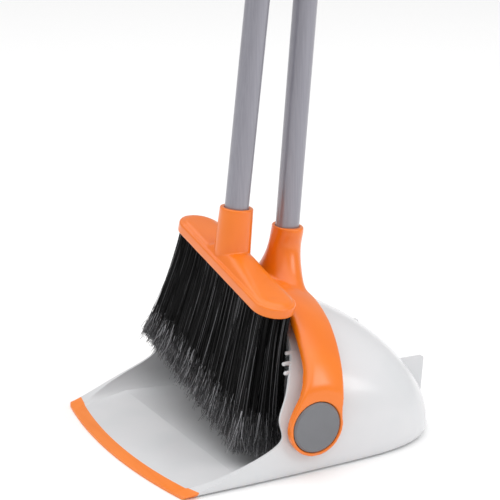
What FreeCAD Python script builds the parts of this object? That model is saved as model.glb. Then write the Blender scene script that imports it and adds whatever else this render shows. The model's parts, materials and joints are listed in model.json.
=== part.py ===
import FreeCAD, Part
import math
import os
from FreeCAD import Placement, Rotation, Vector

# Long-handled dust pan with a broom clipped to its handle.
# Frame: origin on the floor, in the plane of symmetry, right under the pivot
# of the yoke. +Z is up, the pan's lip faces -Y, +X is the width. Millimetres.

# ---------------------------------------------------------------- driving sizes
# pan shell
PAN_HALF_WIDTH = 143.5
PAN_FRONT_NARROWING = 4.0
PAN_HEIGHT = 145.5
PAN_WALL = 2.4
PAN_FLOOR = 3.0
HOOD_START_Y = 12.0
HOOD_LENGTH = 161.5
PLAN_POWER = 4.16
CREST_START_POWER = 1.45
CREST_END_POWER = 2.45
ARCH_WIDTH_POWER = 2.2
ARCH_HEIGHT_POWER = 2.6
WIDEST_Z = 10.5
BOTTOM_CORNER = 12.0
INNER_CORNER_WIDTH = 26.0
INNER_CORNER_HEIGHT = 25.0
REAR_RISE = 3.0
UNDERSIDE_TRIM = 0.3
SECTION_POINTS = 22
CORNER_STEPS = 30
ARCH_STEPS = 200
FRONT_OVERRUN_Y = -170.0
OVERRUN = 17.0
CUT_X = 200.0
CUT_Y = 260.0
CUT_Z = 260.0

# lip strip
LIP_FRONT_Y = -155.0
LIP_RADIUS = 642.0
LIP_DEPTH = 14.0
LIP_EDGE = 1.2
TAPER_HEIGHT = 30.0
LIP_CORNER_RADIUS = 12.0

# tray ramp inside the pan
RAMP_HEIGHT = 5.0
RAMP_CREST_Y = -76.0
RAMP_END_Y = 28.0

# feet fins behind the hood
FIN_X = 65.0
FIN_THICKNESS = 3.0
FIN_TOP_Z = 67.0
FIN_REAR_Y = 183.5

# comb teeth on the edges of the hood
TOOTH_RADIUS = 2.2
TOOTH_PITCH = 7.2
TOOTH_LENGTHS = (3.5, 6.5, 3.5)
TOOTH_FIRST_Z = 101.0
TOOTH_FIRST_Y = -11.4
TOOTH_STEP_Y = 4.8
TOOTH_ROOT = 7.0
TOOTH_EDGE_GAP = 0.8

# pivot of the yoke
PIVOT_Z = 53.5
BOSS_RADIUS = 30.3
BOSS_INNER_X = 144.6
BOSS_OUTER_X = 152.6
CAP_RADIUS = 26.2
CAP_GAP = 0.7
CAP_RECESS = 5.0
CAP_PROUD = 0.9
CAP_WALL = 2.2
CAP_BEVEL = 1.9
PIN_JOURNAL_RADIUS = 8.0
PIN_SHANK_RADIUS = 4.5
PIN_HEAD_RADIUS = 12.0
PIN_HEAD = 1.6
RUNNING_CLEARANCE = 0.06
SCREW_RADIUS = 1.8
SCREW_CLEARANCE = 0.1
SCREW_HEAD_RADIUS = 3.6
SCREW_HEAD = 1.7
SCREW_HOLE_LENGTH = 24.0
SCREW_RECESS_RADIUS = 0.9
PAN_BOSS_RADIUS = 11.0
PAN_BOSS_INNER_X = 126.0
PAD_RADIUS = 24.0
PAD_X = BOSS_INNER_X - 0.4
PIN_INNER_X = 120.0
WASHER_RADIUS = 7.5
WASHER = 1.2

# tubes
TUBE_RADIUS = 12.5
TUBE_WALL = 1.0
FIT_GAP = 0.05
JOINER_RADIUS = 13.4
JOINER_BAND = 14.0
JOINER_SPIGOT = 28.0
JOINER_BORE_WALL = 2.5
SOCKET_DEPTH = 48.0
SCREW_DROP = 22.0
INSERT_LENGTH = 38.0
INSERT_BORE_RADIUS = 5.0

# handle of the pan: where its tube leaves the collar, and how far it leans back
PAN_POLE_FOOT = Vector(0, 52.5, 211.7)
PAN_POLE_LEAN = 4.73
PAN_JOINER_AT = 420.0
PAN_TUBE_END = 640.0
PAN_CLIP_AT = 330.0
CLIP_HEIGHT = 26.0
CLIP_RING_WALL = 3.0
CLIP_FORK_WALL = 3.4
CLIP_BRIDGE_WIDTH = 12.0
CLIP_CLEARANCE = 0.4
CLIP_JAW_REACH = 5.0

# handle of the broom
BRUSH_POLE_FOOT = Vector(0, -7.2, 242.1)
BRUSH_POLE_LEAN = 6.49
BRUSH_JOINER_AT = 400.0
BRUSH_TUBE_END = 670.0

# grips
GRIP_LENGTH = 170.0
GRIP_COVER = 122.0
GRIP_RADIUS = 15.6
SLEEVE_LENGTH = 92.0
SLEEVE_RADIUS = 16.4
SLEEVE_WALL = 2.2
SLEEVE_RISE = 18.0
SLEEVE_GROOVES = 7
GROOVE_DEPTH = 1.0
GRIP_MOUTH_RADIUS = 13.6
DOME_RADIUS = 16.4
DOME_HEIGHT = 28.0
DOME_STEPS = 18
HANG_HOLE_RADIUS = 5.5
HANG_HOLE_DROP = 16.0

# yoke collar
COLLAR_RADIUS = 16.0
COLLAR_TOP = 2.2
COLLAR_SCREW_SEAT = 13.9

# broom block
BLOCK_LENGTH = 211.0
BLOCK_WIDTH = 46.0
BLOCK_RIM = 11.0
BLOCK_SHIFT = 7.5
BLOCK_TILT = 11.7
SOCKET_HEIGHT = 63.0
SOCKET_TOP_RADIUS = 17.3
SOCKET_FOOT_RADIUS = 19.2
SOCKET_SCREW_SEAT = 15.9
PLATE_THICKNESS = 4.0
PLATE_MARGIN = 4.0

# bristles
TIP_TILT = 13.9
TIP_HALF_LENGTH = 122.0
TIP_DEPTH = 60.0
TIP_DROP = 137.0
TIP_FORWARD = 7.0
TIP_SHIFT = -4.0
COMB_RELIEF_X = 96.5
COMB_RELIEF_FRONT_Y = -21.5
COMB_RELIEF_LOW_Z = 93.0
COMB_RELIEF_HIGH_Z = 121.0

SIDES = {"left": -1.0, "right": 1.0}
X_AXIS = Vector(1, 0, 0)
Y_AXIS = Vector(0, 1, 0)
Z_AXIS = Vector(0, 0, 1)
PIVOT = Vector(0, 0, PIVOT_Z)


# ---------------------------------------------------------------- small helpers
def export(name, shape):
    """Write one sub-part and say how big it is."""
    solids = shape.Solids
    if not shape.isValid() or not solids:
        print("PROBLEM", name, "valid", shape.isValid(), "solids", len(solids))
    body = solids[0] if len(solids) == 1 else Part.makeCompound(solids)
    body.exportStep("parts/%s.step" % name)
    print("%-20s solids %d volume %.1f cm3" % (name, len(solids), body.Volume / 1000))


def spline(points):
    """An open smooth edge through points."""
    curve = Part.BSplineCurve()
    curve.interpolate(points)
    return curve.toShape()


def prism_x(points, x_from, x_to):
    """Extrude a polygon of (y, z) points along X."""
    wire = Part.makePolygon([Vector(x_from, y, z) for y, z in points + points[:1]])
    return Part.Face(wire).extrude(Vector(x_to - x_from, 0, 0))


def cylinder_x(radius, x_from, x_to, centre=PIVOT):
    """A cylinder along X about the pivot."""
    start = Vector(min(x_from, x_to), centre.y, centre.z)
    return Part.makeCylinder(radius, abs(x_to - x_from), start, X_AXIS)


def stadium(length, width, place):
    """A flat wire with two straight sides and two round ends, then placed."""
    radius = width / 2
    flat = length / 2 - radius
    corners = [Vector(-flat, -radius, 0), Vector(flat, -radius, 0)]
    corners += [Vector(flat, radius, 0), Vector(-flat, radius, 0)]
    right = Part.Arc(corners[1], Vector(flat + radius, 0, 0), corners[2]).toShape()
    left = Part.Arc(corners[3], Vector(-flat - radius, 0, 0), corners[0]).toShape()
    front = Part.LineSegment(corners[0], corners[1]).toShape()
    back = Part.LineSegment(corners[2], corners[3]).toShape()
    wire = Part.Wire([front, right, back, left])
    wire.Placement = place
    return wire


def rounded(shape, edges, radius):
    """Fillet edges, or return the shape as it was where that can't be done."""
    try:
        result = shape.makeFillet(radius, edges)
        if result.isValid() and result.Solids:
            return result
    except Part.OCCError:
        pass
    print("note: a fillet of %.1f mm was left out" % radius)
    return shape


# ---------------------------------------------------------------- pan shell
def arch_x(z, half, crest):
    """Half the width of an arch at height z, from its widest half and its crest."""
    rise = max(0.0, z - WIDEST_Z) / (crest - WIDEST_Z)
    return half * max(0.0, 1 - rise ** ARCH_HEIGHT_POWER) ** (1 / ARCH_WIDTH_POWER)


def evenly(points, count):
    """Points spaced evenly along a finely drawn line."""
    travelled = [0.0]
    for before, after in zip(points, points[1:]):
        travelled.append(travelled[-1] + math.dist(before, after))
    result = []
    index = 0
    for step in range(count):
        target = travelled[-1] * step / (count - 1)
        while index < len(points) - 2 and travelled[index + 1] < target:
            index += 1
        share = (target - travelled[index]) / (travelled[index + 1] - travelled[index])
        (x0, z0), (x1, z1) = points[index], points[index + 1]
        result.append((x0 + (x1 - x0) * share, z0 + (z1 - z0) * share))
    return result


def arch_wire(y, inset):
    """Cross-section of the shell at y: a flat bottom and one arched line over it.

    inset is 0 for the outside and the wall's thickness for the cavity.
    """
    share = max(0.0, (y - HOOD_START_Y) / (HOOD_LENGTH - inset))
    front = min(1.0, max(0.0, y / (LIP_FRONT_Y + LIP_DEPTH)))
    half = PAN_HALF_WIDTH - PAN_FRONT_NARROWING * front ** 2 - inset
    half *= (1 - share ** PLAN_POWER) ** (1 / PLAN_POWER)
    crest = PAN_HEIGHT - WIDEST_Z - inset
    crest = crest * (1 - share ** CREST_START_POWER) ** (1 / CREST_END_POWER) + WIDEST_Z
    bottom = REAR_RISE * share ** 3 - UNDERSIDE_TRIM
    corner_top = WIDEST_Z
    corner_width = min(BOTTOM_CORNER, half * 0.6)
    if inset:
        bottom += PAN_FLOOR + UNDERSIDE_TRIM
        corner_top = min(bottom + INNER_CORNER_HEIGHT, bottom + (crest - bottom) * 0.5)
        corner_width = min(INNER_CORNER_WIDTH, half * 0.6)
    foot = arch_x(corner_top, half, crest)
    quarter = math.radians(90)
    fine = []
    for step in range(CORNER_STEPS):
        turn = quarter * step / CORNER_STEPS
        fine.append((foot - corner_width * (1 - math.sin(turn)),
                     corner_top - (corner_top - bottom) * math.cos(turn)))
    for step in range(ARCH_STEPS):
        z = corner_top + (crest - corner_top) * math.sin(quarter * step / ARCH_STEPS)
        fine.append((arch_x(z, half, crest), z))
    right = evenly(fine + [(0.0, crest)], SECTION_POINTS)
    left = [(-x, z) for x, z in reversed(right[:-1])]
    points = [Vector(x, y, z) for x, z in right + left]
    floor = Part.LineSegment(points[-1], points[0]).toShape()
    return Part.Wire([spline(points), floor])


def shell_solid(inset, front_y):
    """The outside of the pan, or its cavity, as one lofted solid."""
    length = HOOD_LENGTH - inset
    stations = [front_y, -110.0, -60.0, HOOD_START_Y - 20]
    stations += [HOOD_START_Y + length * math.sin(math.radians(turn)) for turn in range(8, 88, 9)]
    return Part.makeLoft([arch_wire(y, inset) for y in stations], True, False)


def opening_cutter():
    """Everything above the tray's side walls and in front of the hood."""
    tray = [(-190, 2.6), (-160, 2.7), (-141, 3.3), (-120, 8.0), (-94, 17.0), (-61, 28.5), (-42, 36.5)]
    notch = [(-33.5, 44.0), (-34.5, 60.0), (-29.5, 72.0), (-21.5, 84.0)]
    hood = [(-13.5, 98.0), (-2.5, 114.0), (5.5, 128.0), (17, 147.0), (25, 160.0)]
    edge = spline([Vector(-CUT_X, y, z) for y, z in tray + notch + hood])
    first = Vector(-CUT_X, *tray[0])
    last = Vector(-CUT_X, *hood[-1])
    top_front = Vector(-CUT_X, tray[0][0], CUT_Z)
    top_back = Vector(-CUT_X, hood[-1][0], CUT_Z)
    frame = Part.makePolygon([last, top_back, top_front, first])
    return Part.Face(Part.Wire([edge] + frame.Edges)).extrude(Vector(2 * CUT_X, 0, 0))


def plan_prism():
    """The pan's plan: a bowed front edge with rounded corners, open behind."""
    centre_y = LIP_FRONT_Y + LIP_RADIUS
    corner_x = PAN_HALF_WIDTH - PAN_FRONT_NARROWING + 0.6
    corner_y = centre_y - math.sqrt(LIP_RADIUS ** 2 - corner_x ** 2)
    left = Vector(-corner_x, corner_y, -5)
    right = Vector(corner_x, corner_y, -5)
    bow = Part.Arc(left, Vector(0, LIP_FRONT_Y, -5), right).toShape()
    widest = PAN_HALF_WIDTH + 10
    back = 260
    sides = Part.makePolygon([right, Vector(widest, -60, -5), Vector(widest, back, -5),
                              Vector(-widest, back, -5), Vector(-widest, -60, -5), left])
    prism = Part.Face(Part.Wire([bow] + sides.Edges)).extrude(Vector(0, 0, 300))
    corners = [edge for edge in prism.Edges
               if edge.Length > 299 and abs(edge.CenterOfMass.y - corner_y) < 1]
    return rounded(prism, corners, LIP_CORNER_RADIUS)


def lip_disc(radius):
    """A tall disc whose rim follows the bow of the lip."""
    centre = Vector(0, LIP_FRONT_Y + LIP_RADIUS, -10)
    return Part.makeCylinder(radius, 300, centre)


def lip_taper():
    """What the lip loses above so that it thins to its front edge."""
    front = LIP_FRONT_Y - 5
    back = LIP_FRONT_Y + LIP_DEPTH + 16
    return prism_x([(front, LIP_EDGE), (back, TAPER_HEIGHT), (front, TAPER_HEIGHT)], -CUT_X, CUT_X)


def ramp():
    """The tray's slope up from the lip and the long fall back to the floor of the hood."""
    crest = PAN_FLOOR + RAMP_HEIGHT
    root = PAN_FLOOR / 3
    points = [(FRONT_OVERRUN_Y, root), (LIP_FRONT_Y + LIP_DEPTH, PAN_FLOOR), (RAMP_CREST_Y, crest),
              (RAMP_END_Y, PAN_FLOOR - 0.5), (RAMP_END_Y, root)]
    return prism_x(points, -PAN_HALF_WIDTH - OVERRUN, PAN_HALF_WIDTH + OVERRUN)


def fins(hollow):
    """Two upright plates behind the hood that the pan can stand on."""
    outline = [(110, 6), (FIN_REAR_Y - 4.5, 6), (FIN_REAR_Y, FIN_TOP_Z), (110, FIN_TOP_Z + 3)]
    plates = []
    for side in SIDES.values():
        start = side * FIN_X - FIN_THICKNESS / 2
        plate = prism_x(outline, start, start + FIN_THICKNESS)
        tips = [edge for edge in plate.Edges
                if edge.Length < FIN_THICKNESS + 0.1 and edge.CenterOfMass.y > FIN_REAR_Y - 6]
        plates.append(rounded(plate, tips, 4.0).cut(hollow))
    return plates


def comb_teeth():
    """Short pegs on both edges of the hood that comb dust out of the bristles."""
    pegs = []
    for side in SIDES.values():
        for index, length in enumerate(TOOTH_LENGTHS):
            z = TOOTH_FIRST_Z + index * TOOTH_PITCH
            edge_y = TOOTH_FIRST_Y + index * TOOTH_STEP_Y
            x = side * (arch_x(z, PAN_HALF_WIDTH, PAN_HEIGHT) - TOOTH_RADIUS - TOOTH_EDGE_GAP)
            foot = Vector(x, edge_y + TOOTH_ROOT, z)
            peg = Part.makeCylinder(TOOTH_RADIUS, length + TOOTH_ROOT, foot, Y_AXIS * -1)
            tip = Part.makeSphere(TOOTH_RADIUS, Vector(x, edge_y - length, z))
            pegs.append(peg.fuse(tip))
    return pegs


def pan_parts():
    """The pan's shell and its soft lip."""
    outside = shell_solid(0.0, FRONT_OVERRUN_Y)
    hollow = shell_solid(PAN_WALL, FRONT_OVERRUN_Y - 5)
    shell = outside.cut(hollow).cut(opening_cutter())
    ramp_body = ramp().common(outside).cut(opening_cutter())
    below = Part.makeBox(2 * CUT_X, 2 * CUT_Y, OVERRUN, Vector(-CUT_X, -CUT_Y, -OVERRUN))
    shell = shell.fuse(ramp_body).common(plan_prism()).cut(below)
    lip = shell.cut(lip_disc(LIP_RADIUS - LIP_DEPTH)).cut(lip_taper())
    body = shell.common(lip_disc(LIP_RADIUS - LIP_DEPTH))
    extras = fins(hollow) + comb_teeth()
    for side in SIDES.values():
        boss = cylinder_x(PAN_BOSS_RADIUS, side * PAN_BOSS_INNER_X, side * PAD_X)
        pad = cylinder_x(PAD_RADIUS, side * (PAD_X - 6.2), side * PAD_X).cut(hollow)
        extras += [boss, pad]
    body = body.fuse(extras)
    for side in SIDES.values():
        body = body.cut(cylinder_x(PIN_SHANK_RADIUS + FIT_GAP, side * PIN_INNER_X, side * BOSS_OUTER_X))
    return body.removeSplitter(), lip


# ---------------------------------------------------------------- pivots
def pivot_pin(side):
    """A stub axle: shank in the pan's boss, journal in the yoke's eye, and a head."""
    head_x = BOSS_OUTER_X - CAP_RECESS + 0.2
    shank = cylinder_x(PIN_SHANK_RADIUS, side * (PAN_BOSS_INNER_X + 1), side * PAD_X)
    journal = cylinder_x(PIN_JOURNAL_RADIUS, side * PAD_X, side * head_x)
    head = cylinder_x(PIN_HEAD_RADIUS, side * head_x, side * (head_x + PIN_HEAD))
    thread = cylinder_x(SCREW_RADIUS, side * PIN_INNER_X, side * (PAD_X - 3.2))
    return shank.fuse([journal, head]).cut(thread)


def pivot_screw(side):
    """The screw that pulls a stub axle into the pan from inside."""
    seat_x = PAN_BOSS_INNER_X - WASHER
    shank = cylinder_x(SCREW_RADIUS - FIT_GAP, side * seat_x, side * (PAD_X - 4.2))
    head = cylinder_x(SCREW_HEAD_RADIUS, side * (seat_x - 2.4), side * seat_x)
    recess = cylinder_x(SCREW_RECESS_RADIUS, side * (seat_x - 3), side * (seat_x - 1.2))
    return shank.fuse(head).cut(recess)


def pivot_washer(side):
    """The washer under that screw's head."""
    ring = cylinder_x(WASHER_RADIUS, side * (PAN_BOSS_INNER_X - WASHER), side * PAN_BOSS_INNER_X)
    return ring.cut(cylinder_x(SCREW_RADIUS + 0.2, side * PIN_INNER_X, side * BOSS_INNER_X))


def pivot_cap(side):
    """The round grey cover that snaps into the yoke's end."""
    floor_x = BOSS_OUTER_X - CAP_RECESS
    face_x = BOSS_OUTER_X + CAP_PROUD
    cup = cylinder_x(CAP_RADIUS, side * floor_x, side * face_x)
    rim = [edge for edge in cup.Edges
           if abs(edge.CenterOfMass.x - side * face_x) < 0.1 and edge.Length > 100]
    cup = cup.makeChamfer(CAP_BEVEL, rim)
    inside = cylinder_x(CAP_RADIUS - CAP_WALL, side * (floor_x - 1), side * (face_x - CAP_WALL))
    return cup.cut(inside)


# ---------------------------------------------------------------- poles
class Pole:
    """A straight handle: its foot is where the tube leaves its socket."""

    def __init__(self, foot, lean, joiner_at, tube_end):
        self.foot = foot
        self.axis = Vector(0, math.sin(math.radians(lean)), math.cos(math.radians(lean)))
        self.joiner_at = joiner_at
        self.tube_end = tube_end
        self.lean = lean

    def at(self, distance):
        """The point on the axis at a distance up from the foot."""
        return self.foot + self.axis * distance

    def place(self, distance):
        """A placement on the axis whose local Z is the axis."""
        return Placement(self.at(distance), Rotation(X_AXIS, -self.lean))

    def rod(self, radius, start, end):
        """A round bar along the axis."""
        return Part.makeCylinder(radius, end - start, self.at(start), self.axis)

    def turned(self, outline):
        """A body turned about the axis from (radius, distance) points."""
        wire = Part.makePolygon([Vector(r, 0, d) for r, d in outline + outline[:1]])
        body = Part.Face(wire).revolve(Vector(0, 0, 0), Z_AXIS, 360)
        body.Placement = self.place(0)
        return body

    def screw_hole(self, radius, seat=SCREW_HOLE_LENGTH):
        """A short cross bore at the back of the socket, wider from its seat outwards."""
        back = self.back()
        centre = self.at(-SCREW_DROP)
        bore = Part.makeCylinder(radius, SCREW_HOLE_LENGTH, centre, back)
        sink = Part.makeCylinder(SCREW_HEAD_RADIUS + FIT_GAP, SCREW_HOLE_LENGTH, centre + back * seat, back)
        return bore.fuse(sink)

    def back(self):
        """The direction square to the axis that points behind the pan."""
        return X_AXIS.cross(self.axis) * -1


def lower_tube(pole):
    """Painted steel tube from inside the socket up to the joiner."""
    outer = pole.rod(TUBE_RADIUS, -SOCKET_DEPTH, pole.joiner_at)
    bore = pole.rod(TUBE_RADIUS - TUBE_WALL, -SOCKET_DEPTH - 1, pole.joiner_at + 1)
    return outer.cut(bore).cut(pole.screw_hole(SCREW_RADIUS + SCREW_CLEARANCE))


def upper_tube(pole):
    """Painted steel tube from the joiner up into the grip."""
    start = pole.joiner_at + JOINER_BAND
    outer = pole.rod(TUBE_RADIUS, start, pole.tube_end)
    return outer.cut(pole.rod(TUBE_RADIUS - TUBE_WALL, start - 1, pole.tube_end + 1))


def joiner(pole):
    """Plastic coupling with a spigot in each tube and a band between them."""
    start = pole.joiner_at
    spigot = pole.rod(TUBE_RADIUS - TUBE_WALL - FIT_GAP, start - JOINER_SPIGOT,
                      start + JOINER_BAND + JOINER_SPIGOT)
    band = pole.rod(JOINER_RADIUS, start, start + JOINER_BAND)
    rims = [edge for edge in band.Edges if edge.Closed and edge.Length > 50]
    band = rounded(band, rims, 0.8)
    core = pole.rod(TUBE_RADIUS - TUBE_WALL - JOINER_BORE_WALL, start - JOINER_SPIGOT - 1,
                    start + JOINER_BAND + JOINER_SPIGOT + 1)
    return spigot.fuse(band).cut(core)


def tube_insert(pole):
    """Plug in the foot of the tube that the socket's screw bites into."""
    plug = pole.rod(TUBE_RADIUS - TUBE_WALL - FIT_GAP, -SOCKET_DEPTH, -SOCKET_DEPTH + INSERT_LENGTH)
    core = pole.rod(INSERT_BORE_RADIUS, -SOCKET_DEPTH - 1, -SOCKET_DEPTH + INSERT_LENGTH - 4)
    return plug.cut(core).cut(pole.screw_hole(SCREW_RADIUS + SCREW_CLEARANCE))


def socket_screw(pole, seat):
    """Self-tapping screw sunk in the socket's back, through it and into the plug."""
    back = pole.back()
    centre = pole.at(-SCREW_DROP)
    shank = Part.makeCylinder(SCREW_RADIUS, seat - 6, centre + back * 6, back)
    head = Part.makeCylinder(SCREW_HEAD_RADIUS, SCREW_HEAD, centre + back * seat, back)
    rims = [edge for edge in head.Edges if edge.Closed and edge.Length > 20]
    head = rounded(head, rims[:1], 0.5)
    recess = Part.makeCylinder(SCREW_RECESS_RADIUS, SCREW_HEAD, centre + back * (seat + 0.8), back)
    return shank.fuse(head).cut(recess)


def grip(pole):
    """Moulded grip that caps the tube, with a cross hole to hang it by."""
    top = pole.tube_end + GRIP_LENGTH - GRIP_COVER
    foot = top - GRIP_LENGTH
    waist = SLEEVE_RADIUS - SLEEVE_WALL
    sleeve_low = foot + SLEEVE_RISE
    sleeve_high = sleeve_low + SLEEVE_LENGTH
    outline = [(0, foot), (GRIP_MOUTH_RADIUS, foot), (GRIP_MOUTH_RADIUS + 0.6, foot + 1.2),
               (GRIP_RADIUS, sleeve_low - 3), (GRIP_RADIUS, sleeve_low), (waist, sleeve_low),
               (waist, sleeve_high), (GRIP_RADIUS, sleeve_high), (DOME_RADIUS, sleeve_high + 14)]
    for step in range(1, DOME_STEPS + 1):
        turn = math.radians(90) * step / DOME_STEPS
        outline.append((DOME_RADIUS * math.cos(turn), top - DOME_HEIGHT * (1 - math.sin(turn))))
    body = pole.turned(outline)
    bore = pole.rod(TUBE_RADIUS + FIT_GAP, foot - 1, pole.tube_end + 0.5)
    hole_centre = pole.at(top - HANG_HOLE_DROP)
    hole = Part.makeCylinder(HANG_HOLE_RADIUS, 2 * OVERRUN, hole_centre - X_AXIS * OVERRUN, X_AXIS)
    return body.cut(bore).cut(hole)


def grip_sleeve(pole):
    """Soft ribbed sleeve round the grip's waist."""
    foot = pole.tube_end - GRIP_COVER
    low = foot + SLEEVE_RISE + FIT_GAP
    high = low + SLEEVE_LENGTH - 2 * FIT_GAP
    inner = SLEEVE_RADIUS - SLEEVE_WALL + FIT_GAP
    outline = [(inner, low), (SLEEVE_RADIUS - 0.8, low), (SLEEVE_RADIUS, low + 1.5)]
    pitch = (SLEEVE_LENGTH - 24) / SLEEVE_GROOVES
    for index in range(SLEEVE_GROOVES):
        middle = low + 12 + pitch * (index + 0.5)
        bottom = SLEEVE_RADIUS - GROOVE_DEPTH
        outline += [(SLEEVE_RADIUS, middle - 2.2), (bottom, middle - 1.2),
                    (bottom, middle + 1.2), (SLEEVE_RADIUS, middle + 2.2)]
    outline += [(SLEEVE_RADIUS, high - 1.5), (SLEEVE_RADIUS - 0.8, high), (inner, high)]
    return pole.turned(outline)


# ---------------------------------------------------------------- yoke
def bell(stations):
    """A body turned about the pivot's axis whose rim follows (x, radius) stations."""
    right = [Vector(x, 0, PIVOT_Z + radius) for x, radius in stations]
    left = [Vector(-x, 0, PIVOT_Z + radius) for x, radius in reversed(stations)]
    middle = Vector(0, 0, PIVOT_Z + stations[-1][1] + 0.6)
    curve = spline(right + [middle] + left)
    axis = Part.makePolygon([left[-1], Vector(-stations[0][0], 0, PIVOT_Z),
                             Vector(stations[0][0], 0, PIVOT_Z), right[0]])
    face = Part.Face(Part.Wire([curve] + axis.Edges))
    return face.revolve(PIVOT, X_AXIS, 360)


def arm_outline():
    """Side view of both arms: round end at the pivot, wider towards the collar."""
    front = [(-BOSS_RADIUS, PIVOT_Z), (-27.9, 66), (-20.2, 81), (-12.4, 95), (-6.2, 107),
             (-2.5, 119), (0, 133), (6, 150), (20, 172)]
    rear = [(BOSS_RADIUS, PIVOT_Z), (29.6, 66), (32.0, 82), (37.5, 97.5), (42.5, 112), (47, 124),
            (52, 136), (59.5, 149)]
    front_edge = spline([Vector(-CUT_X, y, z) for y, z in front])
    rear_edge = spline([Vector(-CUT_X, y, z) for y, z in reversed(rear)])
    top = Part.LineSegment(Vector(-CUT_X, *front[-1]), Vector(-CUT_X, *rear[-1])).toShape()
    bottom = Part.Arc(Vector(-CUT_X, *rear[0]), Vector(-CUT_X, 0, PIVOT_Z - BOSS_RADIUS),
                      Vector(-CUT_X, *front[0])).toShape()
    wire = Part.Wire([front_edge, top, rear_edge, bottom])
    return Part.Face(wire).extrude(Vector(2 * CUT_X, 0, 0))


def ellipse_section(pole, distance, half_x, half_y, shift):
    """An ellipse square to the pole, shift along its back direction."""
    curve = Part.Ellipse(Vector(0, 0, 0), max(half_x, half_y + 0.01), half_y)
    wire = Part.Wire([curve.toShape()])
    place = pole.place(distance)
    place.Base = place.Base + pole.back() * shift
    wire.Placement = place
    return wire


def yoke(pole):
    """Collar, flare and the two arms that straddle the hood."""
    inner = bell([(BOSS_INNER_X, 36), (142.0, 40.5), (136.5, 46.5), (130, 53), (122, 61),
                  (113.5, 70), (101, 81), (82, 92), (58, 101), (30, 106)])
    outer = bell([(BOSS_OUTER_X, 36), (151.0, 43), (147.0, 50), (139.5, 60), (129, 71),
                  (114.5, 83), (94, 96), (66, 107), (34, 113.5)])
    arms = outer.cut(inner).common(arm_outline())
    flare_shape = ((4, COLLAR_RADIUS, COLLAR_RADIUS, 0), (-14, 17.0, 16.9, -0.9),
                   (-27, 19.6, 18.0, -2.4), (-38, 25.7, 19.3, -3.7), (-48, 33.6, 20.9, -5.4),
                   (-57, 49.0, 22.2, -8.2), (-65, 66.0, 22.6, -12.0), (-74, 80.0, 22.2, -15.8))
    sections = [ellipse_section(pole, *row) for row in reversed(flare_shape)]
    flare = Part.makeLoft(sections, True, False).cut(inner)
    body = arms.fuse(flare)
    body = body.cut(pole.rod(TUBE_RADIUS + FIT_GAP, -SOCKET_DEPTH, OVERRUN))
    body = body.cut(pole.rod(2 * COLLAR_RADIUS, COLLAR_TOP, OVERRUN))
    body = body.cut(pole.screw_hole(SCREW_RADIUS + SCREW_CLEARANCE, COLLAR_SCREW_SEAT))
    floor_x = BOSS_OUTER_X - CAP_RECESS
    far_x = BOSS_OUTER_X + OVERRUN
    eye_radius = PIN_JOURNAL_RADIUS + RUNNING_CLEARANCE
    for side in SIDES.values():
        body = body.cut(cylinder_x(CAP_RADIUS + CAP_GAP, side * floor_x, side * far_x))
        body = body.cut(cylinder_x(eye_radius, side * PIN_INNER_X, side * far_x))
    solids = sorted(body.Solids, key=lambda solid: solid.Volume)
    return solids[-1]


# ---------------------------------------------------------------- clip
def clip(pan_pole, brush_pole):
    """Collar round the pan's tube with a sprung fork that holds the broom's tube."""
    height = CLIP_HEIGHT
    centre = pan_pole.at(PAN_CLIP_AT)
    reach = (centre.z - brush_pole.foot.z) / brush_pole.axis.z
    grip_point = brush_pole.at(reach)
    ring = pan_pole.rod(TUBE_RADIUS + CLIP_RING_WALL, PAN_CLIP_AT - height / 2, PAN_CLIP_AT + height / 2)
    fork = brush_pole.rod(TUBE_RADIUS + CLIP_FORK_WALL, reach - height / 2, reach + height / 2)
    jaw_front = grip_point.y - CLIP_JAW_REACH
    fork = fork.cut(Part.makeBox(80, 60, 80, Vector(-40, jaw_front - 60, centre.z - 40)))
    span = centre.y - grip_point.y
    bridge_foot = Vector(-CLIP_BRIDGE_WIDTH / 2, grip_point.y, centre.z - height / 2 + 3)
    bridge = Part.makeBox(CLIP_BRIDGE_WIDTH, span, height - 6, bridge_foot)
    body = ring.fuse([fork, bridge])
    body = body.cut(pan_pole.rod(TUBE_RADIUS + FIT_GAP, PAN_CLIP_AT - 30, PAN_CLIP_AT + 30))
    throat = TUBE_RADIUS + CLIP_CLEARANCE
    body = body.cut(brush_pole.rod(throat, reach - 30, reach + 30))
    slot = Part.makeBox(2 * throat, 40, 80, Vector(-throat, grip_point.y - 40, centre.z - 40))
    return body.cut(slot)


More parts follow.
